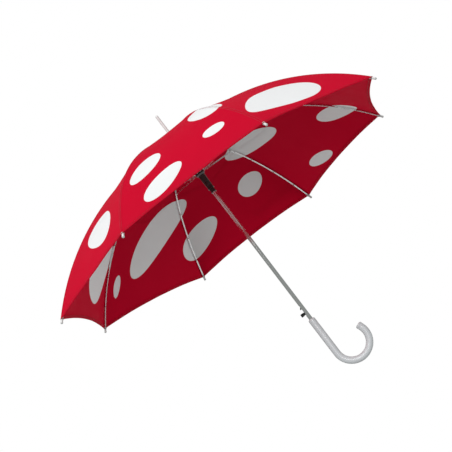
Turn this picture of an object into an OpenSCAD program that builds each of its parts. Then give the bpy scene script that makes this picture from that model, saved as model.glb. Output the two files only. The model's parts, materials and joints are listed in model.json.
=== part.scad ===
// Children's stick umbrella: a spring-opened frame of eight ribs under a scalloped canopy,
// with a thin ferrule at the crown and a crook handle.
// +Z runs up the shaft to the ferrule, the origin is the middle of the straight grip on the
// shaft axis, and the crook curls towards +X. It is drawn open, in millimetres.

/* [Canopy] */
// Radius from the shaft axis to the ends of the rib tips when open
rim_r = 381; // [375:1:390]
// Slope of each rib at its tip, in degrees below level
rim_slope = 51.4; // [50.4:0.2:52.4]
// Height of the crown hinges above the middle of the grip
hinge_z = 469; // [468.5:0.5:469.5]
// How far the rim of a gore curves in between two tips
scallop = 11; // [5:1:20]
// Sag of the cloth between two ribs, as a share of the gap between them
cloth_sag = 0.015; // [0:0.005:0.03]
// Thickness of the cloth solid
cloth_t = 0.6; // [0.4:0.1:0.8]

/* [Frame] */
// Length of a stretcher, and of a rib from its crown hinge to the stretcher joint
link_l = 180; // [178:1:182]
// Drop from the crown hinges to the runner hinges when open
lift = 80; // [76:1:84]
// Radius of the two hinge wires about the shaft axis
wire_ring_r = 7; // [6.8:0.1:7.4]
// Width of the inner ribs
rib_w = 2.8; // [2.8:0.1:3]
// Depth of the inner ribs
rib_h = 2.4; // [2.2:0.1:2.4]
// Wall of the rib and stretcher channels
channel_t = 0.5; // [0.4:0.05:0.5]
// Distance along the rib from the stretcher joint to the flexing knuckle
knuckle_gap = 12; // [11:0.5:14]
// Length of the plastic caps on the rib tips
tip_l = 13; // [12:0.5:15]

/* [Shaft] */
// Outer diameter of the shaft tube
shaft_d = 7.4; // [7.2:0.1:7.6]
// Wall of the shaft tube
shaft_wall = 0.5; // [0.4:0.05:0.6]
// Radial clearance between the runner and the shaft
slide_gap = 0.06; // [0.04:0.01:0.1]
// Length of the runner below its hinges
runner_l = 48; // [48:0.5:48.5]
// Length of the ferrule above the crown cap
ferrule_l = 56; // [40:1:60]
// Diameter of the ferrule
ferrule_d = 5.6; // [5:0.1:6]

/* [Handle] */
// Diameter of the grip
grip_d = 13.4; // [12:0.2:15]
// Length of the straight grip
grip_l = 78; // [78:1:80]
// Radius of the crook's centre line
crook_r = 33; // [30:1:38]
// How far the crook turns, in degrees
crook_turn = 200; // [190:1:205]
// Straight length after the crook
crook_end = 7.5; // [5:0.5:12]
// How far the release button stands out from the shaft
button_out = 7.8; // [6:0.2:9]

/* [Hidden] */
$fn = 48;
eps = 0.01;
rib_count = 8;
step = 360 / rib_count;
first_rib = step / 2;
part_gap = 0.3;
pin_gap = 0.05;

// rib arc: its centre is on the shaft axis, and angles are measured from straight up
arc_r = rim_r / sin(rim_slope);
hinge_a = asin(wire_ring_r / arc_r);
arc_z = hinge_z - arc_r * cos(hinge_a);
deg_per_mm = 180 / (PI * arc_r);
function arc_at(a, off = 0) = [(arc_r + off) * sin(a), 0, arc_z + (arc_r + off) * cos(a)];

// four-bar: the rib link and the stretcher are equal, so the runner hinge stays below the crown hinge
fold_open = acos(lift / 2 / link_l);
joint_x = wire_ring_r + link_l * sin(fold_open);
joint_z = hinge_z - lift / 2;
runner_z = hinge_z - lift;
stretch_up = 90 - fold_open;
joint_a = atan2(joint_x, joint_z - arc_z);
joint_drop = arc_r - norm([joint_x, joint_z - arc_z]);
knuckle_a = joint_a + knuckle_gap * deg_per_mm;
tip_a = rim_slope;
rib_end = 3.5;

// hinge wires and eyes
wire_d = 1.2;
tongue_t = 1.4;
eye_r = 2;
eye_bore = wire_d / 2 + 0.14;
tongue_l = 10.6;
channel_start = 7.6;
slot_w = tongue_t + 2 * part_gap;

// outer rib, a narrower channel that forks round the knuckle
outer_w = rib_w - 0.4;
outer_h = rib_h - 0.2;
knuckle_r = 1.3;
knuckle_t = outer_w - 2 * channel_t - 2 * part_gap;
knuckle_pin = 0.6;

// stretcher channel and its rivet
stretch_w = tongue_t + 2 * part_gap + 2 * channel_t;
stretch_h = 2.4;
rivet_r = 0.8;
rivet_head = 0.4;

// shaft
shaft_r = shaft_d / 2;
bore_r = shaft_r - shaft_wall;
shaft_low = -grip_l / 2 + 3;
shaft_top = hinge_z + 12;
grip_top = grip_l / 2;
end_d = grip_d + 0.3;
end_lap = 1.5;

// crown
notch_r = 10.5;
notch_low = hinge_z - 6;
notch_top = hinge_z + 2.4;
groove_w = wire_d + 2 * pin_gap;
rosette_z = notch_top + 0.1;
cap_z = hinge_z + 3.3;
cap_r = 14;
cap_h = 3;
ferrule_z = cap_z + cap_h;

// runner
flange_r = 9.5;
flange_drop = 4.5;
runner_top = runner_z + 2.4;
runner_low = runner_z - runner_l;
body_top_r = 6.8;
body_low_r = 5.8;
collar_z = runner_z - 38;
neck_r = 5;
foot_r = 5.4;
foot_h = 2.1;
window_h = 5.4;

// spring drive inside the tube
fold_shut = 3;
runner_shut_z = hinge_z - 2 * link_l * cos(fold_shut);
drive_drop = 8;
drive_pin_r = 1;
slot_low = runner_shut_z - drive_drop - 2.5;
slot_high = runner_z - drive_drop + 2.5;
seat_z = 76;
seat_h = 3;
plunger_low = runner_z - drive_drop - 2;
plunger_h = 9;
spring_wire_r = 0.27;
spring_r = 2.45;
spring_turns = 36;

// catch
catch_z = 36;
catch_x = -1.5;
catch_pin_r = 0.7;
leaf_x = -2.6;
leaf_t = 0.6;
leaf_w = 3.4;
tooth_z = 63.8;
tooth_out = 2.3;
tooth_h = 5.4;
button_z = 53.8;
button_h = 6;
button_w = 5;
press_room = 2.1;

// cloth
cloth_off = 2.3;
gore_in_a = asin(12 / arc_r);
gore_out_a = tip_a - 8 * deg_per_mm;
gore_rows = 16;
gore_cols = 6;
strap_rib = 2;
strap_u = 0.86;
strap_w = 20;
strap_t = 0.8;

// ---- helpers ----

// turns a piece drawn in the XZ plane to rib i
module at_rib(i) {
    rotate([0, 0, first_rib + (i - 1) * step]) children();
}

// a cylinder along Y, centred on the XZ plane
module cross_pin(r, l) {
    rotate([90, 0, 0]) cylinder(r = r, h = l, center = true);
}

// a flat plate of thickness t in the XZ plane, from its outline
module plate(t) {
    rotate([90, 0, 0]) translate([0, 0, -t / 2]) linear_extrude(t) children();
}

// channel section, open towards -X
module channel_section(w, h, t) {
    difference() {
        translate([-h / 2, -w / 2]) square([h, w]);
        translate([-h / 2 - eps, -w / 2 + t]) square([h - t + eps, w - 2 * t]);
    }
}

// channel bent along the rib arc from angle a1 to a2
module arc_channel(a1, a2, w, h, t) {
    translate([0, 0, arc_z]) rotate([90, 0, 0]) rotate([0, 0, 90 - a2])
        rotate_extrude(angle = a2 - a1, $fn = 96)
            translate([arc_r, 0]) channel_section(w, h, t);
}

// ---- shaft, crown and handle ----

module shaft_tube() {
    color("silver") difference() {
        translate([0, 0, shaft_low]) cylinder(r = shaft_r, h = shaft_top - shaft_low);
        translate([0, 0, shaft_low - 1]) cylinder(r = bore_r, h = shaft_top - shaft_low - 3);
        translate([-drive_pin_r - 0.2, 0, slot_low])
            cube([2 * drive_pin_r + 0.4, shaft_d, slot_high - slot_low]);
        translate([-shaft_d, -leaf_w / 2 - part_gap, button_z - button_h / 2 - 2])
            cube([shaft_d, leaf_w + 2 * part_gap, tooth_z + tooth_h - button_z + button_h / 2 + 4]);
        translate([catch_x, 0, catch_z]) cross_pin(catch_pin_r + 0.02, shaft_d + 2);
    }
}

module crown_notch() {
    color("white") difference() {
        translate([0, 0, notch_low]) cylinder(r = notch_r, h = notch_top - notch_low);
        translate([0, 0, notch_low - 1]) cylinder(r = shaft_r + 0.02, h = notch_top - notch_low + 2);
        for (i = [1 : rib_count]) at_rib(i)
            translate([wire_ring_r - eye_r - part_gap, -slot_w / 2, notch_low - 1])
                cube([notch_r, slot_w, notch_top - notch_low + 2]);
        translate([0, 0, hinge_z - groove_w / 2]) rotate_extrude()
            translate([wire_ring_r - groove_w / 2, 0]) square([groove_w, 10]);
    }
}

module hinge_wire(z) {
    color("gray") translate([0, 0, z]) rotate_extrude()
        translate([wire_ring_r, 0]) circle(d = wire_d, $fn = 24);
}

module crown_wire() {
    hinge_wire(hinge_z);
}

module crown_rosette() {
    color("firebrick") translate([0, 0, rosette_z]) difference() {
        cylinder(r = notch_r + 0.5, h = 0.7);
        translate([0, 0, -1]) cylinder(r = shaft_r + 0.1, h = 3);
    }
}

module crown_cap() {
    color("white") difference() {
        translate([0, 0, cap_z]) rotate_extrude() polygon([
            [0, 0], [cap_r, 0], [cap_r, 0.6], [cap_r - 4, 1.6], [5, cap_h], [0, cap_h]
        ]);
        translate([0, 0, cap_z - 1]) cylinder(r = shaft_r + 0.02, h = cap_h + 2);
    }
}

module ferrule() {
    stub = shaft_top - ferrule_z;
    color("white") difference() {
        translate([0, 0, ferrule_z]) union() {
            cylinder(r = shaft_r + 0.8, h = stub + 1);
            translate([0, 0, stub + 1]) cylinder(r1 = shaft_r + 0.8, r2 = ferrule_d / 2, h = 3);
            cylinder(d = ferrule_d, h = ferrule_l - ferrule_d / 2);
            translate([0, 0, ferrule_l - ferrule_d / 2]) sphere(d = ferrule_d);
        }
        translate([0, 0, ferrule_z - 1]) cylinder(r = shaft_r + 0.02, h = stub + 1);
    }
}

module handle() {
    color("gainsboro") difference() {
        union() {
            translate([0, 0, -grip_top]) cylinder(d = grip_d, h = grip_l - 2);
            translate([0, 0, grip_top - 2]) cylinder(d1 = grip_d, d2 = grip_d - 3.4, h = 2);
            translate([crook_r, 0, -grip_top]) rotate([90, 0, 0]) rotate([0, 0, 180])
                rotate_extrude(angle = crook_turn, $fn = 96)
                    translate([crook_r, 0]) circle(d = grip_d);
            translate([crook_r, 0, -grip_top]) rotate([0, -crook_turn, 0])
                translate([-crook_r, 0, end_lap]) mirror([0, 0, 1]) {
                    cylinder(d = end_d, h = crook_end + end_lap - 2);
                    translate([0, 0, crook_end + end_lap - 2]) cylinder(d1 = end_d, d2 = end_d - 4, h = 2);
                }
        }
        translate([0, 0, shaft_low - 0.5]) cylinder(r = shaft_r + 0.02, h = grip_l + 5);
    }
}

// ---- runner and spring drive ----

module runner() {
    color("black") difference() {
        union() {
            translate([0, 0, runner_z - flange_drop])
                cylinder(r = flange_r, h = runner_top - runner_z + flange_drop);
            translate([0, 0, runner_z - flange_drop - 2.5])
                cylinder(r1 = body_top_r, r2 = flange_r, h = 2.5);
            translate([0, 0, collar_z])
                cylinder(r1 = body_low_r, r2 = body_top_r, h = runner_z - flange_drop - collar_z);
            translate([0, 0, collar_z - 1]) cylinder(r = body_low_r + 0.5, h = 2.5);
            translate([0, 0, runner_low]) cylinder(r = neck_r, h = collar_z - runner_low);
            translate([0, 0, runner_low]) cylinder(r = foot_r, h = foot_h);
        }
        translate([0, 0, runner_low - 1]) cylinder(r = shaft_r + slide_gap, h = runner_l + 10);
        for (i = [1 : rib_count]) at_rib(i)
            translate([wire_ring_r - eye_r - part_gap, -slot_w / 2, runner_z - eye_r - part_gap])
                cube([flange_r, slot_w, 10]);
        translate([0, 0, runner_z - groove_w / 2]) rotate_extrude()
            translate([wire_ring_r - groove_w / 2, 0]) square([groove_w, 10]);
        translate([-flange_r - 1, -leaf_w / 2 - part_gap, runner_low + foot_h])
            cube([flange_r, leaf_w + 2 * part_gap, window_h]);
        translate([0, 0, runner_z - drive_drop]) rotate([-90, 0, 0])
            cylinder(r = drive_pin_r + 0.02, h = 2 * flange_r);
    }
}

module runner_wire() {
    hinge_wire(runner_z);
}

module spring_plunger() {
    color("dimgray") difference() {
        translate([0, 0, plunger_low]) cylinder(r = bore_r - 0.1, h = plunger_h);
        translate([0, 0, runner_z - drive_drop]) rotate([-90, 0, 0])
            cylinder(r = drive_pin_r + 0.02, h = flange_r);
    }
}

module plunger_pin() {
    color("gray") translate([0, 0.1, runner_z - drive_drop]) rotate([-90, 0, 0])
        cylinder(r = drive_pin_r, h = body_low_r + 0.2);
}

module spring_seat() {
    color("dimgray") translate([0, 0, seat_z]) cylinder(r = bore_r - 0.02, h = seat_h);
}

// round wire swept along a helix, as one closed solid
module main_spring() {
    z0 = seat_z + seat_h + spring_wire_r + 0.05;
    z1 = plunger_low - spring_wire_r - 0.05;
    sides = 5;
    per_turn = 8;
    rings = spring_turns * per_turn;
    pts = [for (k = [0 : rings]) for (s = [0 : sides - 1])
        let (
            a = 360 * k / per_turn,
            q = 360 * s / sides,
            r = spring_r + spring_wire_r * cos(q)
        ) [r * cos(a), r * sin(a), z0 + (z1 - z0) * k / rings + spring_wire_r * sin(q)]];
    walls = [for (k = [0 : rings - 1]) for (s = [0 : sides - 1])
        let (n = (s + 1) % sides)
        each [
            [k * sides + s, k * sides + n, (k + 1) * sides + n],
            [k * sides + s, (k + 1) * sides + n, (k + 1) * sides + s]
        ]];
    first_end = [for (s = [sides - 1 : -1 : 0]) s];
    last_end = [for (s = [0 : sides - 1]) rings * sides + s];
    color("gray") polyhedron(points = pts, faces = concat(walls, [first_end, last_end]));
}

// ---- catch ----

module catch_leaf() {
    color("gray") difference() {
        union() {
            translate([leaf_x, -leaf_w / 2, catch_z])
                cube([leaf_t, leaf_w, tooth_z + tooth_h - catch_z]);
            translate([catch_x, 0, catch_z]) cross_pin(1.2, 3);
            plate(2.6) polygon([
                [leaf_x + 0.1, tooth_z], [-shaft_r - tooth_out, tooth_z],
                [-shaft_r - tooth_out, tooth_z + 0.6], [leaf_x + 0.1, tooth_z + tooth_h]
            ]);
        }
        translate([catch_x, 0, catch_z]) cross_pin(catch_pin_r + pin_gap, leaf_w + 1);
    }
}

module catch_pin() {
    color("gray") intersection() {
        translate([catch_x, 0, catch_z]) cross_pin(catch_pin_r, shaft_d);
        translate([0, 0, catch_z - 5]) cylinder(r = shaft_r, h = 10);
    }
}

module push_button() {
    low = button_z - button_h / 2;
    color("black") union() {
        translate([-shaft_r - press_room - 0.5, -leaf_w / 2 + 0.1, low + 0.4])
            cube([shaft_r + press_room + 0.5 + leaf_x, leaf_w - 0.2, button_h - 0.8]);
        plate(button_w) polygon([
            [-shaft_r - press_room, low + 0.2], [-shaft_r - button_out + 0.8, low - 0.4],
            [-shaft_r - button_out, low + 0.4], [-shaft_r - button_out, low + button_h - 0.8],
            [-shaft_r - button_out + 0.8, low + button_h], [-shaft_r - press_room, low + button_h]
        ]);
    }
}

// ---- ribs and stretchers ----

module rib_inner() {
    joint = [joint_x, 0, joint_z];
    knuckle = arc_at(knuckle_a);
    color("silver") difference() {
        union() {
            arc_channel(
                hinge_a + channel_start * deg_per_mm, knuckle_a - 3.2 * deg_per_mm,
                rib_w, rib_h, channel_t
            );
            translate([wire_ring_r, 0, hinge_z]) cross_pin(eye_r, tongue_t);
            translate([wire_ring_r, 0, hinge_z]) rotate([0, hinge_a + 0.5, 0])
                translate([0, -tongue_t / 2, -rib_h / 2 + 0.1]) cube([tongue_l, tongue_t, rib_h - 0.2]);
            translate(joint) cross_pin(eye_r, tongue_t);
            translate(joint) rotate([0, joint_a, 0])
                translate([-eye_r, -tongue_t / 2, 0]) cube([2 * eye_r, tongue_t, joint_drop + 1]);
            translate(knuckle) cross_pin(knuckle_r, knuckle_t);
            translate(knuckle) rotate([0, knuckle_a, 0])
                translate([-7, -knuckle_t / 2, -0.9]) cube([7, knuckle_t, 1.9]);
        }
        translate([wire_ring_r, 0, hinge_z]) cross_pin(eye_bore, 10);
        translate(joint) cross_pin(rivet_r + pin_gap, 10);
        translate(knuckle) cross_pin(knuckle_pin + pin_gap, 10);
    }
}

module rib_outer() {
    knuckle = arc_at(knuckle_a);
    color("silver") union() {
        difference() {
            union() {
                arc_channel(knuckle_a, tip_a - rib_end * deg_per_mm, outer_w, outer_h, channel_t);
                translate(knuckle) cross_pin(knuckle_r, outer_w);
            }
            translate(knuckle) rotate([0, knuckle_a, 0])
                translate([-3, -outer_w / 2 + channel_t, -3])
                    cube([5, outer_w - 2 * channel_t, 6]);
        }
        translate(knuckle) cross_pin(knuckle_pin, outer_w + 2 * 0.2);
    }
}

module rib_tip() {
    mid = tip_a - tip_l / 2 * deg_per_mm;
    color("white") translate(arc_at(mid)) rotate([0, mid + 90, 0]) difference() {
        union() {
            translate([0, 0, -tip_l / 2]) cylinder(r1 = 2, r2 = 2.2, h = tip_l - 2.3);
            translate([0, 0, tip_l / 2 - 2.4]) sphere(r = 2.4);
        }
        translate([0, 0, -tip_l / 2 - 1]) cylinder(r = 1.7, h = tip_l - 2);
    }
}

// straight channel from the runner hinge to the rib joint, open upwards
module stretcher() {
    color("silver") translate([wire_ring_r, 0, runner_z]) rotate([0, -stretch_up, 0]) {
        difference() {
            union() {
                translate([channel_start, 0, 0]) rotate([0, 90, 0])
                    linear_extrude(link_l - channel_start)
                        channel_section(stretch_w, stretch_h, channel_t);
                translate([link_l, 0, 0]) cross_pin(eye_r - 0.3, stretch_w);
                cross_pin(eye_r, tongue_t);
                translate([0, -tongue_t / 2, -stretch_h / 2]) cube([tongue_l, tongue_t, stretch_h - 0.1]);
            }
            cross_pin(eye_bore, 10);
            translate([link_l - 3.4, -stretch_w / 2 + channel_t, -5])
                cube([10, stretch_w - 2 * channel_t, 10]);
        }
        translate([link_l, 0, 0]) cross_pin(rivet_r, stretch_w + 2 * rivet_head);
    }
}

// ---- canopy ----

// point of the cloth above rib angle a, a share t of the way to the next rib (sign gives the side)
function cloth_pt(a, t, side, off) =
    let (
        r = (arc_r + off) * sin(a),
        chord = 2 * r * sin(step / 2),
        sag = cloth_sag * chord * 4 * t * (1 - t),
        mid = side * step / 2,
        x = r + t * (r * cos(step) - r),
        y = side * t * r * sin(step)
    ) [
        x - sag * sin(a) * cos(mid),
        y - sag * sin(a) * sin(mid),
        arc_z + (arc_r + off) * cos(a) - sag * cos(a)
    ];

// row u from 0 at the crown to 1 at the scalloped rim
function cloth_angle(u, t) =
    gore_in_a + u * (gore_out_a - scallop * deg_per_mm * 4 * t * (1 - t) - gore_in_a);

function cloth_share(c, u) =
    let (gap = part_gap / 2 / (2 * arc_r * sin(cloth_angle(u, 0.5)) * sin(step / 2)))
    abs(c) / gore_cols * (0.5 - gap);

// closed sheet over columns c0 to c1 (0 is the rib line) and rows u0 to u1, lifted off the ribs by off
module cloth_solid(c0, c1, u0, u1, rows, off, thick) {
    cols = c1 - c0;
    layer = (rows + 1) * (cols + 1);
    pts = [for (lift = [off, off + thick]) for (j = [0 : rows]) for (c = [c0 : c1])
        let (u = u0 + (u1 - u0) * j / rows, t = cloth_share(c, u))
        cloth_pt(cloth_angle(u, t), t, c < 0 ? -1 : 1, lift)];
    function at(l, j, c) = l * layer + j * (cols + 1) + c;
    skins = [for (j = [0 : rows - 1]) for (c = [0 : cols - 1]) each [
        [at(1, j, c), at(1, j, c + 1), at(1, j + 1, c + 1)],
        [at(1, j, c), at(1, j + 1, c + 1), at(1, j + 1, c)],
        [at(0, j, c), at(0, j + 1, c + 1), at(0, j, c + 1)],
        [at(0, j, c), at(0, j + 1, c), at(0, j + 1, c + 1)]
    ]];
    ends = [for (c = [0 : cols - 1]) each [
        [at(0, 0, c), at(0, 0, c + 1), at(1, 0, c + 1)],
        [at(0, 0, c), at(1, 0, c + 1), at(1, 0, c)],
        [at(0, rows, c), at(1, rows, c + 1), at(0, rows, c + 1)],
        [at(0, rows, c), at(1, rows, c), at(1, rows, c + 1)]
    ]];
    sides = [for (j = [0 : rows - 1]) each [
        [at(0, j, 0), at(1, j + 1, 0), at(0, j + 1, 0)],
        [at(0, j, 0), at(1, j, 0), at(1, j + 1, 0)],
        [at(0, j, cols), at(0, j + 1, cols), at(1, j + 1, cols)],
        [at(0, j, cols), at(1, j + 1, cols), at(1, j, cols)]
    ]];
    polyhedron(points = pts, faces = concat(skins, ends, sides));
}

module canopy_gore() {
    color("crimson") cloth_solid(-gore_cols, gore_cols, 0, 1, gore_rows, cloth_off, cloth_t);
}

// strap that ties the shut canopy, laid on the cloth beside rib 2 above the rim
module tie_strap() {
    color("crimson") at_rib(strap_rib)
        cloth_solid(0, 5, strap_u, strap_u + strap_w / (arc_r * gore_out_a * PI / 180), 2,
            cloth_off + cloth_t + 0.2, strap_t);
}

shaft_tube();
ferrule();
crown_cap();
crown_rosette();
crown_notch();
crown_wire();
spring_seat();
main_spring();
catch_pin();
handle();
runner();
runner_wire();
spring_plunger();
plunger_pin();
catch_leaf();
push_button();
tie_strap();
for (i = [1 : rib_count]) {
    at_rib(i) rib_inner();
    at_rib(i) rib_outer();
    at_rib(i) rib_tip();
    at_rib(i) stretcher();
    at_rib(i) canopy_gore();
}
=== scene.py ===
"""Looks of the children's umbrella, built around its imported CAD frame: spotted cloth canopy
with seams, hems and ties, tie strap, crook handle and trims. Lengths are in metres, and the
frame has +Z up the shaft, the crook towards +X and the release button on the -X side."""

import json
import math
import bpy
from mathutils import Matrix, Vector, noise


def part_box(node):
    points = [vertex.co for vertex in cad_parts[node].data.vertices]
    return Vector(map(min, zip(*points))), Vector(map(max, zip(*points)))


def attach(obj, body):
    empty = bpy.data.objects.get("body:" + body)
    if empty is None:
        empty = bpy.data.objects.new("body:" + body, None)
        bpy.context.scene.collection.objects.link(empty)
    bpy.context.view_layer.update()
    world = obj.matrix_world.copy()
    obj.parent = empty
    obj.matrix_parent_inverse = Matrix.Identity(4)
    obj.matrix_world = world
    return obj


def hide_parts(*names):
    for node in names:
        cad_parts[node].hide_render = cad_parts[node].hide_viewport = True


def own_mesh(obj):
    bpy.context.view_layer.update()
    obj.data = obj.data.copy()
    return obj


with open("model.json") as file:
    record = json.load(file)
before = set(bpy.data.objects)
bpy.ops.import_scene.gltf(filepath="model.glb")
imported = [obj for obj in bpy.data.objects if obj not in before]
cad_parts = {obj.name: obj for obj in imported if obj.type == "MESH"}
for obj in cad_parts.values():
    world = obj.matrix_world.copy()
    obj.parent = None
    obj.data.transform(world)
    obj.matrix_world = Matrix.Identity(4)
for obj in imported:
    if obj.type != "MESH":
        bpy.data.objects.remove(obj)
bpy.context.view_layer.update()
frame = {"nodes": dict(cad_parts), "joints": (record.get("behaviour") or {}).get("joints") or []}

MM = 0.001
RIBS = 8
STEP = math.tau / RIBS
FIRST = STEP / 2


# ---- places that come from the frame ----

def joint_place(name):
    """Distance from the shaft axis and height of a joint."""
    x, y, z = next(j["pos_m"] for j in frame["joints"] if j["name"] == name)
    return math.hypot(x, y), z


HINGE_R, HINGE_Z = joint_place("canopy_fold")
KNUCKLE_R, KNUCKLE_Z = joint_place("rib_flex_1")
ARC_Z = (KNUCKLE_R ** 2 + KNUCKLE_Z ** 2 - HINGE_R ** 2 - HINGE_Z ** 2) / (2 * (KNUCKLE_Z - HINGE_Z))
ARC_R = math.hypot(HINGE_R, HINGE_Z - ARC_Z)
KNUCKLE_A = math.atan2(KNUCKLE_R, KNUCKLE_Z - ARC_Z)
CLOTH_LIFT = 2.6 * MM
CROWN_A = math.asin(12 * MM / ARC_R)
CORNER_A = math.acos((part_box("canopy_gore_1")[0].z - ARC_Z) / (ARC_R + 2.3 * MM))
SAG = 0.015
SCALLOP = 11 * MM
FLOOR_R = 5
FLOOR_Z = -0.5


def rib_turn(i):
    """Rotation about the shaft that brings a piece drawn in the XZ plane to rib i."""
    return Matrix.Rotation(FIRST + (i - 1) * STEP, 4, "Z")


def arc_point(a, lift=0.0):
    return Vector(((ARC_R + lift) * math.sin(a), 0, ARC_Z + (ARC_R + lift) * math.cos(a)))


def outward(a):
    return Vector((math.sin(a), 0, math.cos(a)))


def down_slope(a):
    return Vector((math.cos(a), 0, -math.sin(a)))


# ---- camera, light and floor ----

def make_camera():
    """Camera below the rim, looking up into the canopy, rolled as in the photograph."""
    azimuth, elevation, roll = map(math.radians, (-87.15, -12.43, -37.25))
    target = Vector((-0.021, -0.001, 0.275))
    back = Vector((
        math.cos(elevation) * math.cos(azimuth),
        math.cos(elevation) * math.sin(azimuth),
        math.sin(elevation),
    ))
    level = Vector((0, 0, 1)).cross(back).normalized()
    rise = back.cross(level)
    right = level * math.cos(roll) + rise * math.sin(roll)
    up = rise * math.cos(roll) - level * math.sin(roll)
    turn = Matrix((right, up, back)).transposed().to_4x4()
    data = bpy.data.cameras.new("camera")
    data.lens = 96.1
    data.sensor_width = 36
    camera = bpy.data.objects.new("camera", data)
    camera.matrix_world = Matrix.Translation(target + back * 2.266) @ turn
    bpy.context.scene.collection.objects.link(camera)
    bpy.context.scene.camera = camera


def area_light(name, place, aim, size, power, tall=None):
    """Round soft box at a place, aimed at a point; an oval one is given how tall it is."""
    data = bpy.data.lights.new(name, "AREA")
    data.shape = "ELLIPSE"
    data.size = size
    data.size_y = tall or size
    data.energy = power
    light = bpy.data.objects.new(name, data)
    facing = (Vector(aim) - Vector(place)).to_track_quat("-Z", "Y").to_matrix().to_4x4()
    light.matrix_world = Matrix.Translation(place) @ facing
    bpy.context.scene.collection.objects.link(light)
    return light


def light_only(light, pieces):
    """Keeps a light to some pieces, as flags and grids do in a studio."""
    only = bpy.data.collections.new(light.name + "_pieces")
    for piece in pieces:
        only.objects.link(piece)
    light.light_linking.receiver_collection = only


def light_pieces(handle, halves):
    """Boxes in front for the shaded handle and upper tube, and one low at each side for the cloth."""
    tube = frame["nodes"]["shaft_tube"]
    light_only(area_light("handle_box", (0.1, -2.2, 0.62), (0, 0, 0.1), 1.0, 19.0), [handle])
    light_only(area_light("tube_box", (0.1, -2.2, 0.80), (0, 0, 0.3), 1.6, 2.2, 0.24), [tube])
    light_only(area_light("side_left", (-1.5, -0.1, 0.05), (0.3, 0, 0.33), 0.7, 7.5), halves)
    light_only(area_light("side_right", (1.5, -0.1, 0.05), (-0.3, 0, 0.33), 0.7, 8.0), halves)


def make_light():
    """White surroundings and a large soft key from above."""
    scene = bpy.context.scene
    scene.view_settings.view_transform = "Standard"
    world = bpy.data.worlds.new("studio")
    scene.world = world
    world.use_nodes = True
    tree = world.node_tree
    tree.nodes.clear()
    output = tree.nodes.new("ShaderNodeOutputWorld")
    mix = tree.nodes.new("ShaderNodeMixShader")
    seen = tree.nodes.new("ShaderNodeBackground")
    lit = tree.nodes.new("ShaderNodeBackground")
    path = tree.nodes.new("ShaderNodeLightPath")
    seen.inputs["Color"].default_value = (1, 1, 1, 1)
    seen.inputs["Strength"].default_value = 1.0
    lit.inputs["Color"].default_value = (0.95, 1, 0.97, 1)
    lit.inputs["Strength"].default_value = 0.29
    tree.links.new(path.outputs["Is Camera Ray"], mix.inputs[0])
    tree.links.new(lit.outputs[0], mix.inputs[1])
    tree.links.new(seen.outputs[0], mix.inputs[2])
    tree.links.new(mix.outputs[0], output.inputs[0])
    area_light("key", (-0.15, -1.4, 1.9), (0.05, 0, 0.4), 1.8, 38)


def make_floor():
    """Plain pale floor below the umbrella, which is held in the air."""
    mesh = bpy.data.meshes.new("floor")
    ring = [math.tau * k / 96 for k in range(96)]
    edge = [(FLOOR_R * math.cos(q), FLOOR_R * math.sin(q), FLOOR_Z) for q in ring]
    mesh.from_pydata(edge, [], [tuple(range(96))])
    floor = bpy.data.objects.new("floor", mesh)
    bpy.context.scene.collection.objects.link(floor)
    mesh.materials.append(FLOOR)
    floor.visible_diffuse = False


# ---- materials ----

def new_material(name):
    """New material with its node tree and its main shader."""
    material = bpy.data.materials.new(name)
    material.use_nodes = True
    tree = material.node_tree
    shader = next(n for n in tree.nodes if n.type == "BSDF_PRINCIPLED")
    return material, tree, shader


def link_ramp(tree, source, stops, target):
    """Colour ramp from source to target with (position, grey or colour) stops."""
    ramp = tree.nodes.new("ShaderNodeValToRGB")
    for k, (position, value) in enumerate(stops):
        element = ramp.color_ramp.elements[k] if k < 2 else ramp.color_ramp.elements.new(position)
        element.position = position
        element.color = (value, value, value, 1) if isinstance(value, float) else (*value, 1)
    tree.links.new(source, ramp.inputs[0])
    tree.links.new(ramp.outputs[0], target)


def noise_node(tree, scale, detail=2.0, stretch=(1, 1, 1)):
    """Noise over the object's own coordinates, which are metres."""
    coords = tree.nodes.new("ShaderNodeTexCoord")
    mapping = tree.nodes.new("ShaderNodeMapping")
    mapping.inputs["Scale"].default_value = stretch
    texture = tree.nodes.new("ShaderNodeTexNoise")
    texture.inputs["Scale"].default_value = scale
    texture.inputs["Detail"].default_value = detail
    tree.links.new(coords.outputs["Object"], mapping.inputs[0])
    tree.links.new(mapping.outputs[0], texture.inputs["Vector"])
    return texture.outputs["Fac"]


def bump(tree, height, shader, strength, distance):
    """Bump on a shader from a height, distance in metres."""
    node = tree.nodes.new("ShaderNodeBump")
    node.inputs["Strength"].default_value = strength
    node.inputs["Distance"].default_value = distance
    tree.links.new(height, node.inputs["Height"])
    tree.links.new(node.outputs[0], shader.inputs["Normal"])


def moulded(name, low, high, roughness, grain, coat=0.0, metallic=0.0, stretch=(1, 1, 1), depth=0.00002):
    """Moulded plastic or metal: colour from low to high, roughness varying by the same grain."""
    material, tree, shader = new_material(name)
    shader.inputs["Metallic"].default_value = metallic
    shader.inputs["Coat Weight"].default_value = coat
    shader.inputs["Coat Roughness"].default_value = 0.08
    fac = noise_node(tree, grain, 3.0, stretch)
    link_ramp(tree, fac, [(0.3, low), (0.7, high)], shader.inputs["Base Color"])
    link_ramp(tree, fac, [(0.3, roughness * 0.85), (0.7, roughness * 1.2)], shader.inputs["Roughness"])
    bump(tree, noise_node(tree, grain * 4, 2.0, stretch), shader, 0.25, depth)
    return material


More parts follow.
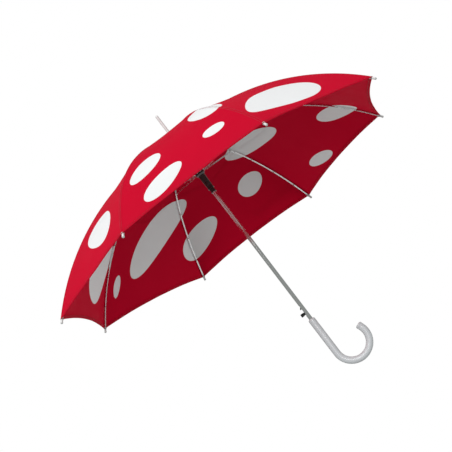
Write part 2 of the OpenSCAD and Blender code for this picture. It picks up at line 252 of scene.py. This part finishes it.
def weave_height(tree, pitch):
    """Plain weave from two crossed waves over the cloth's own flat coordinates."""
    uv = tree.nodes.new("ShaderNodeUVMap")
    uv.uv_map = "flat"
    total = None
    for direction in ("X", "Y"):
        wave = tree.nodes.new("ShaderNodeTexWave")
        wave.bands_direction = direction
        wave.inputs["Scale"].default_value = math.tau / 20 / pitch
        wave.inputs["Distortion"].default_value = 0.6
        wave.inputs["Detail"].default_value = 1.0
        tree.links.new(uv.outputs[0], wave.inputs["Vector"])
        if total is None:
            total = wave.outputs["Fac"]
        else:
            product = tree.nodes.new("ShaderNodeMath")
            product.operation = "MULTIPLY"
            tree.links.new(total, product.inputs[0])
            tree.links.new(wave.outputs["Fac"], product.inputs[1])
            total = product.outputs[0]
    return total


def canopy_cloth(name, spots):
    """Thin printed polyester: red ground, pale spots, weave, soft blotches and some light through it."""
    material, tree, shader = new_material(name)
    shader.inputs["Sheen Weight"].default_value = 0.06
    shader.inputs["Sheen Roughness"].default_value = 0.45
    shader.inputs["Sheen Tint"].default_value = (0.8, 0.05, 0.1, 1)
    shader.inputs["Specular IOR Level"].default_value = 0.05
    blotch = noise_node(tree, 18.0, 4.0)
    red = tree.nodes.new("ShaderNodeMix")
    red.data_type = "RGBA"
    red.inputs["A"].default_value = (0.56, 0.0, 0.021, 1)
    red.inputs["B"].default_value = (0.61, 0.0005, 0.025, 1)
    tree.links.new(blotch, red.inputs["Factor"])
    ground = red.outputs["Result"]
    if spots:
        attribute = tree.nodes.new("ShaderNodeAttribute")
        attribute.attribute_name = "spot"
        edge = tree.nodes.new("ShaderNodeMapRange")
        edge.interpolation_type = "SMOOTHSTEP"
        edge.inputs["From Min"].default_value = -0.35
        edge.inputs["From Max"].default_value = 0.35
        edge.inputs["To Min"].default_value = 1.0
        edge.inputs["To Max"].default_value = 0.0
        tree.links.new(attribute.outputs["Fac"], edge.inputs["Value"])
        pale = tree.nodes.new("ShaderNodeMix")
        pale.data_type = "RGBA"
        pale.inputs["A"].default_value = (0.84, 0.86, 0.87, 1)
        pale.inputs["B"].default_value = (0.90, 0.91, 0.92, 1)
        tree.links.new(blotch, pale.inputs["Factor"])
        both = tree.nodes.new("ShaderNodeMix")
        both.data_type = "RGBA"
        tree.links.new(edge.outputs[0], both.inputs["Factor"])
        tree.links.new(ground, both.inputs["A"])
        tree.links.new(pale.outputs["Result"], both.inputs["B"])
        ground = both.outputs["Result"]
    tree.links.new(ground, shader.inputs["Base Color"])
    weave = weave_height(tree, 0.0007)
    link_ramp(tree, weave, [(0.0, 0.62), (1.0, 0.48)], shader.inputs["Roughness"])
    bump(tree, weave, shader, 0.35, 0.00012)
    through = tree.nodes.new("ShaderNodeBsdfTranslucent")
    mix = tree.nodes.new("ShaderNodeMixShader")
    mix.inputs[0].default_value = 0.10
    output = next(n for n in tree.nodes if n.type == "OUTPUT_MATERIAL")
    tree.links.new(ground, through.inputs["Color"])
    tree.links.new(shader.outputs[0], mix.inputs[1])
    tree.links.new(through.outputs[0], mix.inputs[2])
    tree.links.new(mix.outputs[0], output.inputs["Surface"])
    return material


def sewing_thread(name, colour):
    """Matt spun thread or felt with a fine fibre grain."""
    material, tree, shader = new_material(name)
    fac = noise_node(tree, 3000.0, 1.0)
    dark = tuple(c * 0.75 for c in colour)
    link_ramp(tree, fac, [(0.3, dark), (0.7, colour)], shader.inputs["Base Color"])
    shader.inputs["Roughness"].default_value = 0.6
    shader.inputs["Sheen Weight"].default_value = 0.3
    bump(tree, fac, shader, 0.4, 0.00005)
    return material


def floor_paint():
    """Matt pale paint, faintly mottled and lit from below like a light table."""
    material, tree, shader = new_material("floor_paint")
    fac = noise_node(tree, 2.5, 3.0)
    link_ramp(tree, fac, [(0.3, 0.76), (0.7, 0.80)], shader.inputs["Base Color"])
    shader.inputs["Roughness"].default_value = 0.9
    shader.inputs["Emission Color"].default_value = (1, 1, 1, 1)
    shader.inputs["Emission Strength"].default_value = 0.5
    return material


FLOOR = floor_paint()
CLOTH = canopy_cloth("canopy_cloth", True)
PLAIN_CLOTH = canopy_cloth("plain_cloth", False)
THREAD = sewing_thread("red_thread", (0.40, 0.002, 0.02))
PALE_THREAD = sewing_thread("pale_thread", (0.72, 0.72, 0.70))
FELT = sewing_thread("fastener_felt", (0.42, 0.006, 0.03))
CHROME = moulded("plated_tube", 0.80, 0.90, 0.12, 60.0, metallic=1.0, stretch=(1, 1, 0.04), depth=0.000001)
RIB_STEEL = moulded("plated_rib", 0.66, 0.78, 0.26, 120.0, metallic=1.0, depth=0.00001)
WIRE = moulded("drawn_wire", 0.42, 0.55, 0.30, 400.0, metallic=1.0)
BLUED = moulded("blued_steel", 0.03, 0.06, 0.35, 200.0, metallic=0.8)
WHITE = moulded("white_plastic", 0.80, 0.86, 0.30, 90.0, coat=0.3)
BLACK = moulded("black_plastic", 0.008, 0.016, 0.30, 150.0, coat=0.3)
DARK = moulded("dark_plastic", 0.030, 0.045, 0.5, 150.0)
GRIP_COLOURS = ((0.74, 0.757, 0.787), (0.78, 0.797, 0.827))
GRIP = moulded("grip_plastic", *GRIP_COLOURS, 0.32, 30.0, coat=0.15, depth=0.000003)


# ---- mesh helpers ----

def link_mesh(name, points, faces, materials):
    """Smooth-shaded mesh object in the scene."""
    mesh = bpy.data.meshes.new(name)
    mesh.from_pydata([tuple(p) for p in points], [], faces)
    for material in materials:
        mesh.materials.append(material)
    mesh.polygons.foreach_set("use_smooth", [True] * len(mesh.polygons))
    mesh.update()
    piece = bpy.data.objects.new(name, mesh)
    bpy.context.scene.collection.objects.link(piece)
    return piece


def grid_faces(rows, cols, start=0, wrap=False, flip=False):
    """Quads of a grid of points, row after row; wrap joins the last column to the first."""
    faces = []
    for j in range(rows - 1):
        this, after = start + j * cols, start + (j + 1) * cols
        for c in range(cols if wrap else cols - 1):
            d = (c + 1) % cols
            quad = (this + c, this + d, after + d, after + c)
            faces.append(quad[::-1] if flip else quad)
    return faces


def flat_map(piece, places):
    """Flat coordinates of a sheet, one place for each point, for the weave."""
    uv = piece.data.uv_layers.new(name="flat")
    for loop in piece.data.loops:
        uv.data[loop.index].uv = places[loop.vertex_index]


class Build:
    """Gathers points and faces of several small shapes into one mesh."""

    def __init__(self):
        self.points = []
        self.faces = []

    def grid(self, rows, wrap=False, flip=False):
        start = len(self.points)
        for row in rows:
            self.points.extend(row)
        self.faces.extend(grid_faces(len(rows), len(rows[0]), start, wrap, flip))

    def cap(self, start, sides, flip=False):
        """Closes a ring of points, start the first of them, with one face."""
        ring = tuple(range(start, start + sides))
        self.faces.append(ring[::-1] if flip else ring)

    def tube(self, path, radius, sides=8, closed=False):
        """Round tube along a path; a closed one joins its ends, an open one gets caps."""
        count = len(path)
        rows = []
        side = None
        for k, p in enumerate(path):
            before = path[k - 1] if k or closed else p
            after = path[(k + 1) % count] if k < count - 1 or closed else p
            along = (after - before).normalized()
            if side is None:
                side = along.orthogonal().normalized()
            side = (side - along * side.dot(along)).normalized()
            up = along.cross(side)
            r = radius[k] if isinstance(radius, (list, tuple)) else radius
            rows.append([p + (side * math.cos(q) + up * math.sin(q)) * r
                         for q in (math.tau * s / sides for s in range(sides))])
        start = len(self.points)
        self.grid(rows + [rows[0]] if closed else rows, wrap=True)
        if not closed:
            self.cap(start, sides, flip=True)
            self.cap(start + (count - 1) * sides, sides)

    def piece(self, name, materials):
        return link_mesh(name, self.points, self.faces, materials)


# ---- canopy ----

# spots of the print on the flattened canopy seen from above: centre x and y, half length, half
# width, turn in degrees and how egg-shaped it is; lengths in millimetres from the crown
SPOTS = (
    (-106, 326, 59, 31, 174, 0.14), (67, 302, 36, 26, 137, 0.06), (-179, 212, 109, 41, 5, 0.0),
    (124, 184, 70, 32, 166, 0.0), (252, 297, 39, 15, 150, 0.0), (319, 147, 45, 22, 152, 0.2),
    (-314, 165, 24, 9, 159, -0.08), (-306, 57, 77, 56, 32, -0.27), (-221, -241, 79, 38, 109, -0.06),
    (-66, -284, 40, 30, 34, 0.21), (-50, -371, 50, 26, 13, -0.10), (83, -334, 23, 16, 178, 0.0),
    (225, -262, 105, 55, 49, 0.41), (85, -221, 50, 31, 112, 0.0), (-95, 60, 60, 36, 125, 0.1),
    (22, 116, 50, 27, 12, 0.0), (112, 28, 46, 34, 80, 0.1), (-128, -28, 44, 26, 30, -0.1),
    (-15, -86, 42, 24, 150, 0.0), (212, 56, 28, 20, 60, 0.0), (186, -38, 44, 26, 20, 0.15),
)


def spot_distance(azimuth, slope_way):
    """Signed distance in millimetres to the nearest spot's edge, negative inside it."""
    x, y = slope_way / MM * math.cos(azimuth), slope_way / MM * math.sin(azimuth)
    nearest = 1000.0
    for cx, cy, half_l, half_w, turn, egg in SPOTS:
        q = math.radians(turn)
        u = ((x - cx) * math.cos(q) + (y - cy) * math.sin(q)) / half_l
        v = ((y - cy) * math.cos(q) - (x - cx) * math.sin(q)) / (half_w * max(0.2, 1 + egg * u))
        nearest = min(nearest, (math.hypot(u, v) - 1) * half_w)
    return nearest


def chord_at(a):
    """Distance between neighbouring ribs at slope angle a."""
    return 2 * ARC_R * math.sin(a) * math.sin(STEP / 2)


def cloth_outward(a, t, side=1):
    """Outward direction of the cloth at slope angle a and share t of the way to the next rib."""
    across = side * math.sin(a) * math.sin(t * STEP)
    return Vector((math.sin(a) * math.cos(t * STEP), across, math.cos(a)))


def cloth_point(a, t, lift):
    """Cloth at slope angle a and share t of the way to the next rib, in rib 1's plane frame."""
    r = (ARC_R + lift) * math.sin(a)
    sag = SAG * 2 * r * math.sin(STEP / 2) * 4 * t * (1 - t)
    height = ARC_Z + (ARC_R + lift) * math.cos(a)
    point = Vector((r * (1 - t * (1 - math.cos(STEP))), t * r * math.sin(STEP), height))
    middle = Vector((math.sin(a) * math.cos(STEP / 2), math.sin(a) * math.sin(STEP / 2), math.cos(a)))
    return point - middle * sag


def rim_angle(t):
    """Slope angle of the rim, which curves up between its corners."""
    return CORNER_A - SCALLOP / ARC_R * 4 * t * (1 - t)


def split_angle(t):
    """Slope angle where the cloth crosses the flat plane through the rib's knuckle axis."""
    low, high = KNUCKLE_A - 0.1, KNUCKLE_A + 0.2
    knuckle = arc_point(KNUCKLE_A)
    along = down_slope(KNUCKLE_A)
    for _ in range(40):
        mid = (low + high) / 2
        if (cloth_point(mid, t, CLOTH_LIFT) - knuckle).dot(along) < 0:
            low = mid
        else:
            high = mid
    return (low + high) / 2


WELT = (0.0, 0.9 * MM, 1.8 * MM, 2.7 * MM, 3.6 * MM)
COLS = 34
ROWS = {"top": 44, "rim": 50}
HEM = 6 * MM


def column_share(c, a):
    """Share t of column c: a few narrow columns beside the rib, then even ones to the middle."""
    chord = chord_at(a)
    even = 0.5 * c / (COLS - 1)
    if c < len(WELT):
        return min(WELT[c] / chord, even)
    first = min(WELT[-1] / chord, 0.5 * (len(WELT) - 1) / (COLS - 1))
    return first + (0.5 - first) * (c - len(WELT) + 1) / (COLS - len(WELT))


def cloth_surface(a, t, side):
    """Cloth with the sewn welt over the rib and tension ripples that run towards the tips."""
    chord = chord_at(a)
    lateral = t * chord
    welt = 0.45 * MM * max(0.0, 1 - (lateral / (3.2 * MM)) ** 2)
    seam = 0.30 * MM * max(0.0, 1 - lateral / (0.9 * MM))
    point = cloth_point(a, t, CLOTH_LIFT)
    across = side * (0.5 - t) * chord / (38 * MM)
    ripple = noise.noise(Vector((a * 4, across, 3.7))) * 0.7 * MM * min(1.0, lateral / (25 * MM))
    point += cloth_outward(a, t) * (welt - seam + ripple)
    return Vector((point.x, side * point.y, point.z))


SPLIT = {}


def split_at(t):
    """The same angle, kept once it has been worked out."""
    key = round(t, 4)
    if key not in SPLIT:
        SPLIT[key] = split_angle(key)
    return SPLIT[key]


def cloth_rows(side, part):
    """Rows of points of half a gore, with their shares t and slope angles."""
    rows, shares, angles = [], [], []
    for j in range(ROWS[part] + 1):
        u = j / ROWS[part]
        first, last = (CROWN_A, KNUCKLE_A) if part == "top" else (KNUCKLE_A, CORNER_A)
        row, row_t, row_a = [], [], []
        for c in range(COLS):
            t = column_share(c, first + u * (last - first)) if c < COLS - 1 else 0.5
            low, high = (CROWN_A, split_at(t)) if part == "top" else (split_at(t), rim_angle(t))
            a = low + u * (high - low)
            row.append(cloth_surface(a, t, side))
            row_t.append(t)
            row_a.append(a)
        rows.append(row)
        shares.append(row_t)
        angles.append(row_a)
    return rows, shares, angles


def add_tuck(rows, shares, angles, side):
    """Runs the upper part on under the rim part, just inside it."""
    edge_t, edge_a = shares[-1], angles[-1]
    for reach, depth in ((2, 0.2), (5, 0.35), (8, 0.35)):
        row, row_a = [], []
        for t, a in zip(edge_t, edge_a):
            spread = min(1.0, t * chord_at(a) / (14 * MM))
            a += (0.6 + (reach - 0.6) * spread) * MM / ARC_R
            row.append(cloth_surface(a, t, side) - cloth_outward(a, t, side) * depth * MM)
            row_a.append(a)
        rows.append(row)
        shares.append(edge_t)
        angles.append(row_a)


def add_hem(rows, shares, angles, side):
    """Rolls the rim's edge under and lays the hem back inside the cloth."""
    edge, edge_t, edge_a = rows[-1], shares[-1], angles[-1]
    for depth, way in ((0.35, -0.25), (0.9, 0.0), (1.2, 0.6), (1.2, 3.0), (1.1, HEM / MM)):
        row = []
        for p, t, a in zip(edge, edge_t, edge_a):
            inside = -cloth_outward(a, t, side)
            back = cloth_surface(a - 3 * MM / ARC_R, t, side) - p
            row.append(p + inside * depth * MM + back.normalized() * way * MM)
        rows.append(row)
        shares.append(edge_t)
        angles.append([a - max(way, 0) * MM / ARC_R for a in edge_a])


def canopy_half(i, side, part):
    """Half a gore beside rib i, out to the gore's middle, above or below the knuckle."""
    rows, shares, angles = cloth_rows(side, part)
    add_edge = add_tuck if part == "top" else add_hem
    add_edge(rows, shares, angles, side)
    build = Build()
    turn = rib_turn(i)
    build.grid([[turn @ p for p in row] for row in rows], flip=side > 0)
    piece = build.piece(f"canopy_{i}_{'left' if side > 0 else 'right'}_{part}", [CLOTH])
    spot = piece.data.attributes.new("spot", "FLOAT", "POINT")
    flat, distances = [], []
    azimuth = FIRST + (i - 1) * STEP
    for row_t, row_a in zip(shares, angles):
        for t, a in zip(row_t, row_a):
            off = math.atan2(t * math.sin(STEP), 1 - t * (1 - math.cos(STEP)))
            distances.append(spot_distance(azimuth + side * off, ARC_R * a))
            flat.append((side * (0.5 - t) * chord_at(a), ARC_R * a))
    spot.data.foreach_set("value", distances)
    flat_map(piece, flat)
    return piece


def stitch(build, start, end, out, radius):
    """One raised stitch of thread from start to end."""
    along = (end - start).normalized()
    rise = out.normalized()
    path = [
        start - rise * radius,
        start + along * radius + rise * radius * 0.6,
        (start + end) / 2 + rise * radius,
        end - along * radius + rise * radius * 0.6,
        end - rise * radius,
    ]
    build.tube(path, [radius * 0.6, radius, radius, radius, radius * 0.6], sides=5)


def stitch_line(build, line, pitch=3.6 * MM, length=2.7 * MM, radius=0.22 * MM):
    """Stitches along a line of (point, outward) pairs that are more than a stitch apart."""
    carried = pitch * 0.3
    for (p, n), (q, _) in zip(line, line[1:]):
        step = (q - p).length
        along = (q - p) / step
        while carried + length <= step:
            stitch(build, p + along * carried, p + along * (carried + length), n, radius)
            carried += pitch
        carried = max(0.0, carried - step)


SEAM_ENDS = {"top": (CROWN_A + 0.01, KNUCKLE_A - 0.004), "rim": (KNUCKLE_A + 0.004, CORNER_A - 0.012)}


def canopy_stitches(i, side, part):
    """Seam stitches beside the rib, and on the rim part both sides of the hem."""
    build = Build()
    turn = rib_turn(i)
    low, high = SEAM_ENDS[part]
    runs = int((high - low) * ARC_R / (14 * MM))
    line = []
    for k in range(runs + 1):
        a = low + (high - low) * k / runs
        t = 2.1 * MM / chord_at(a)
        line.append((turn @ cloth_surface(a, t, side), turn.to_3x3() @ outward(a)))
    stitch_line(build, line)
    if part == "rim":
        for face, lift in ((1, 0.0), (-1, -1.35 * MM)):
            line = []
            for k in range(12):
                t = 0.5 * (0.04 + 0.96 * k / 11)
                a = rim_angle(t) - 4.4 * MM / ARC_R
                n = cloth_outward(a, t, side)
                line.append((turn @ (cloth_surface(a, t, side) + n * lift), turn.to_3x3() @ n * face))
            stitch_line(build, line)
    return build.piece(f"stitching_{i}_{'left' if side > 0 else 'right'}_{part}", [THREAD])


# slope angles of each part of the cloth, the tilt and the share of its width that it folds to,
# and the length of rib that carries it
FOLDS = {
    "top": (CROWN_A, KNUCKLE_A, math.radians(16), 0.20, "rib_inner"),
    "rim": (KNUCKLE_A, CORNER_A, math.radians(20), 0.11, "rib_outer"),
}


def fold_with(piece, i, part):
    """The cloth half rides on its rib's inner or outer length."""
    low, high, tilt, keep, body = FOLDS[part]
    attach(piece, f"{body}_{i}")
    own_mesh(piece)


def make_canopy():
    """Thirty-two pieces of cloth, four at each rib, with their seam and hem stitches."""
    halves = []
    for i in range(1, RIBS + 1):
        for side in (1, -1):
            for part in ("top", "rim"):
                half = canopy_half(i, side, part)
                sewn = canopy_stitches(i, side, part)
                for piece in (half, sewn):
                    fold_with(piece, i, part)
                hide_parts(f"canopy_gore_{i}")
                halves.append(half)
    return halves


# ---- frame, handle, strap and trims ----

CAD_LOOKS = (
    ("shaft_tube", CHROME), ("ferrule", WHITE), ("crown_cap", WHITE), ("crown_notch", WHITE),
    ("rib_tip", WHITE), ("runner_wire", WIRE), ("crown_wire", WIRE), ("plunger_pin", WIRE),
    ("catch_pin", WIRE), ("catch_leaf", BLUED), ("rib_inner", RIB_STEEL), ("rib_outer", RIB_STEEL),
    ("stretcher", RIB_STEEL), ("spring_plunger", DARK), ("spring_seat", DARK), ("runner", BLACK),
    ("push_button", BLACK), ("main_spring", WIRE), ("handle", GRIP), ("crown_rosette", PLAIN_CLOTH),
    ("tie_strap", PLAIN_CLOTH), ("canopy_gore", CLOTH),
)


def paint_frame():
    """CAD nodes keep their shape and take the finished materials."""
    for name, piece in frame["nodes"].items():
        look = next(material for start, material in CAD_LOOKS if name.startswith(start))
        piece.data.materials.clear()
        piece.data.materials.append(look)


# the handle's bored mouth as (radius, drop below its top) in millimetres
MOUTH = (
    (3.72, 76), (3.72, 1), (4.1, 0.2), (4.6, 0), (5.1, 0.05), (5.7, 0.6), (6.2, 1.2), (6.52, 1.8),
    (6.66, 2.5),
)
# and its plugged end as (reach past the bend, radius beyond the grip's) in millimetres
END_PLUG = (
    (1.0, 0), (2.2, 0), (2.3, -0.25), (2.6, -0.25), (2.7, 0.1), (4.0, 0.12), (5.6, 0.1), (6.4, -0.35),
    (7.0, -1.0), (7.4, -2.0), (7.5, -3.2),
)
LIP = 3.4 * MM
BEND_R = 33 * MM
BEND_TURN = math.radians(200)


def handle_rings(radius, top):
    """Centre, inward direction and radius of each ring, from inside the bore to the end plug."""
    side = Vector((1, 0, 0))
    rings = [(Vector((0, 0, top - drop * MM)), side, r * MM) for r, drop in MOUTH]
    rings.append((Vector((0, 0, top - LIP)), side, radius))
    for k in range(1, 25):
        rings.append((Vector((0, 0, top - LIP - (2 * top - LIP) * k / 25)), side, radius))
    for k in range(73):
        q = BEND_TURN * k / 72
        outwards = Vector((-math.cos(q), 0, -math.sin(q)))
        rings.append((Vector((BEND_R, 0, -top)) + outwards * BEND_R, -outwards, radius))
    centre, inward, _ = rings[-1]
    along = Vector((math.sin(BEND_TURN), 0, -math.cos(BEND_TURN)))
    for reach, more in END_PLUG:
        rings.append((centre + along * reach * MM, inward, radius + more * MM))
    rings.append((centre + along * 7.5 * MM, inward, 1.5 * MM))
    return rings


def make_handle():
    """Crook handle moulded in one piece: bored for the shaft, parting line, plugged end."""
    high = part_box("handle")[1]
    radius = high.y - 0.15 * MM
    sides = 56
    rows = []
    for centre, inward, r in handle_rings(radius, high.z):
        row = []
        for s in range(sides):
            q = math.tau * s / sides
            ridge = 0.07 * MM if s in (0, sides // 2) and r >= radius - 0.01 * MM else 0
            out = inward * math.cos(q) + Vector((0, 1, 0)) * math.sin(q)
            row.append(centre + out * (r + ridge))
        rows.append(row)
    build = Build()
    build.grid(rows, wrap=True)
    build.cap(0, sides, flip=True)
    build.cap((len(rows) - 1) * sides, sides)
    handle = build.piece("crook_handle", [GRIP])
    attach(handle, "shaft")
    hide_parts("handle")
    return handle


def make_spring():
    """Compression spring inside the tube, carried by the shaft."""
    low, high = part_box("main_spring")
    wire = 0.27 * MM
    coil = high.x - wire
    turns, per_turn = 36, 14
    count = turns * per_turn
    path = []
    for k in range(count + 1):
        q = math.tau * k / per_turn
        z = low.z + wire + (high.z - low.z - 2 * wire) * k / count
        path.append(Vector((coil * math.cos(q), coil * math.sin(q), z)))
    build = Build()
    build.tube(path, wire, sides=8)
    spring = build.piece("main_spring_wire", [WIRE])
    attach(spring, "shaft")
    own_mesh(spring)
    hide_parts("main_spring")


def make_rosette():
    """Pinked disc of cloth between the notch and the canopy."""
    low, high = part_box("crown_rosette")
    inner, outer, middle = 3.9 * MM, high.x, (low.z + high.z) / 2
    rows = []
    sides = 144
    for k in range(9):
        row = []
        for s in range(sides):
            q = math.tau * s / sides
            tooth = 0.6 * MM * abs((s % 6) / 3 - 1) if k == 8 else 0
            r = inner + (outer - inner) * k / 8 - tooth
            z = middle + 0.12 * MM * math.sin(5 * q + k * 0.4)
            row.append(Vector((r * math.cos(q), r * math.sin(q), z)))
        rows.append(row)
    build = Build()
    build.grid(rows, wrap=True)
    rosette = build.piece("rosette_cloth", [PLAIN_CLOTH])
    flat_map(rosette, [(p.x, p.y) for row in rows for p in row])
    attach(rosette, "shaft")
    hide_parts("crown_rosette")


STRAP_A = CROWN_A + 0.862 * (CORNER_A - CROWN_A)
STRAP_W = 19 * MM
STRAP_L = 104 * MM
STRAP_HEM = 3 * MM
STRAP_RIB = 2


def strap_point(way, across, lift):
    """Point of the tie strap, way along it from the rib and across it from its upper edge."""
    a = STRAP_A + across / ARC_R
    t = way / chord_at(a)
    normal = cloth_outward(a, t)
    return cloth_surface(a, t, 1) + normal * lift, normal


def strap_reach(way):
    """Share of the strap's width that it has there; its free end is rounded."""
    past = max(0.0, way - STRAP_L + 5 * MM) / (5 * MM)
    return min(1.0, math.sqrt(max(0.0, 1 - past ** 2)) * 0.35 + 0.65)


def strap_cloth():
    """Strip with slight waves and a hem turned under along both edges."""
    turn = rib_turn(STRAP_RIB)
    cols, count = 60, 14
    rows, flat = [], []
    for j in range(-2, count + 3):
        row = []
        share = min(max(j / count, 0.0), 1.0)
        for c in range(cols + 1):
            way = STRAP_L * c / cols
            across = STRAP_W * (0.5 + (share - 0.5) * strap_reach(way))
            lift = 1.0 * MM + 0.18 * MM * math.sin(way / (9 * MM)) * math.sin(math.pi * share)
            if j < 0 or j > count:
                under = -j if j < 0 else j - count
                lift -= 0.35 * MM if under == 1 else 0.55 * MM
                across += (1 if j < 0 else -1) * (0.0 if under == 1 else STRAP_HEM)
            row.append(turn @ strap_point(1.2 * MM + way, across, lift)[0])
            flat.append((way, across))
        rows.append(row)
    build = Build()
    build.grid(rows)
    strap = build.piece("tie_strap_cloth", [PLAIN_CLOTH])
    flat_map(strap, flat)
    return strap


def strap_stitches():
    """Two rows along the hems and two across the end that is sewn in."""
    turn = rib_turn(STRAP_RIB)
    lines = []
    for across in (1.6 * MM, STRAP_W - 1.6 * MM):
        lines.append([(2 * MM + (STRAP_L - 9 * MM) * c / 8, across) for c in range(9)])
    for way in (3 * MM, 9 * MM):
        lines.append([(way, 2 * MM), (way, STRAP_W - 2 * MM)])
    build = Build()
    for line in lines:
        points = [strap_point(way, across, 1.05 * MM) for way, across in line]
        stitch_line(build, [(turn @ p, turn.to_3x3() @ n) for p, n in points])
    return build.piece("tie_strap_stitching", [THREAD])


def strap_fastener():
    """Hook-and-loop patch with rounded corners near the strap's free end."""
    turn = rib_turn(STRAP_RIB)
    sides = 64
    rows = []
    for lift, inset in ((0.9, 0.0), (1.35, 0.0), (1.65, 0.3), (1.7, 0.9)):
        row = []
        for s in range(sides):
            q = math.tau * s / sides
            x = math.copysign(abs(math.cos(q)) ** 0.35, math.cos(q)) * (8 * MM - inset * MM)
            y = math.copysign(abs(math.sin(q)) ** 0.35, math.sin(q)) * (6 * MM - inset * MM)
            row.append(turn @ strap_point(STRAP_L - 15 * MM + x, STRAP_W / 2 + y, lift * MM)[0])
        rows.append(row)
    build = Build()
    build.grid(rows, wrap=True)
    build.cap((len(rows) - 1) * sides, sides)
    build.cap(0, sides, flip=True)
    return build.piece("tie_strap_fastener", [FELT])


def make_tie_strap():
    """Strap that ties the shut canopy, sewn in at rib 2."""
    strap, stitches, fastener = strap_cloth(), strap_stitches(), strap_fastener()
    for piece in (strap, stitches, fastener):
        fold_with(piece, STRAP_RIB, "rim")
    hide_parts("tie_strap")


# ties of thread: slope angles in degrees, then half width, top, bottom, thread radius and pitch
# of the windings in millimetres
TIES = {
    "inner": ((7.5, 15), (1.75, 2.45, -1.5, 0.24, 0.5)),
    "outer": ((30, 38, 45), (1.5, 2.45, -1.4, 0.24, 0.5)),
    "tip": ((math.degrees(CORNER_A - 1.6 * MM / ARC_R),), (2.45, 3.1, -2.4, 0.2, 0.42)),
}


def wind_round(build, turn, slope, sizes):
    """Three windings of thread round a rib at a slope angle in degrees."""
    half_width, top, bottom, radius, pitch = (size * MM for size in sizes)
    for k in (-1, 0, 1):
        q = math.radians(slope) + k * pitch / ARC_R
        path = []
        for s in range(20):
            w = math.tau * s / 20
            y = math.copysign(abs(math.cos(w)) ** 0.6, math.cos(w)) * half_width
            z = math.copysign(abs(math.sin(w)) ** 0.6, math.sin(w))
            lift = (top + bottom) / 2 + z * (top - bottom) / 2
            path.append(turn @ (arc_point(q) + Vector((0, y, 0)) + outward(q) * lift))
        build.tube(path, radius, sides=6, closed=True)


def make_ties():
    """Thread that ties the canopy's seams to the ribs, and its corners to the tips."""
    for i in range(1, RIBS + 1):
        for place, (slopes, sizes) in TIES.items():
            build = Build()
            for slope in slopes:
                wind_round(build, rib_turn(i), slope, sizes)
            at_tip = place == "tip"
            name = f"tip_thread_{i}" if at_tip else f"rib_thread_{i}_{place}"
            piece = build.piece(name, [PALE_THREAD if at_tip else THREAD])
            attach(piece, f"rib_inner_{i}" if place == "inner" else f"rib_outer_{i}")


def make_runner_rings():
    """Moulded finger ridges round the runner's body."""
    build = Build()
    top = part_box("runner")[1].z
    for k in range(6):
        drop = 12 * MM + k * 4.2 * MM
        radius = 6.62 * MM - (drop - 10 * MM) * 0.03
        path = [Vector((radius * math.cos(q), radius * math.sin(q), top - drop))
                for q in (math.tau * s / 64 for s in range(64))]
        build.tube(path, 0.42 * MM, sides=8, closed=True)
    rings = build.piece("runner_ridges", [BLACK])
    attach(rings, "runner")


make_camera()
make_light()
make_floor()
paint_frame()
cloth_halves = make_canopy()
make_tie_strap()
make_ties()
make_rosette()
make_spring()
light_pieces(make_handle(), cloth_halves)
make_runner_rings()
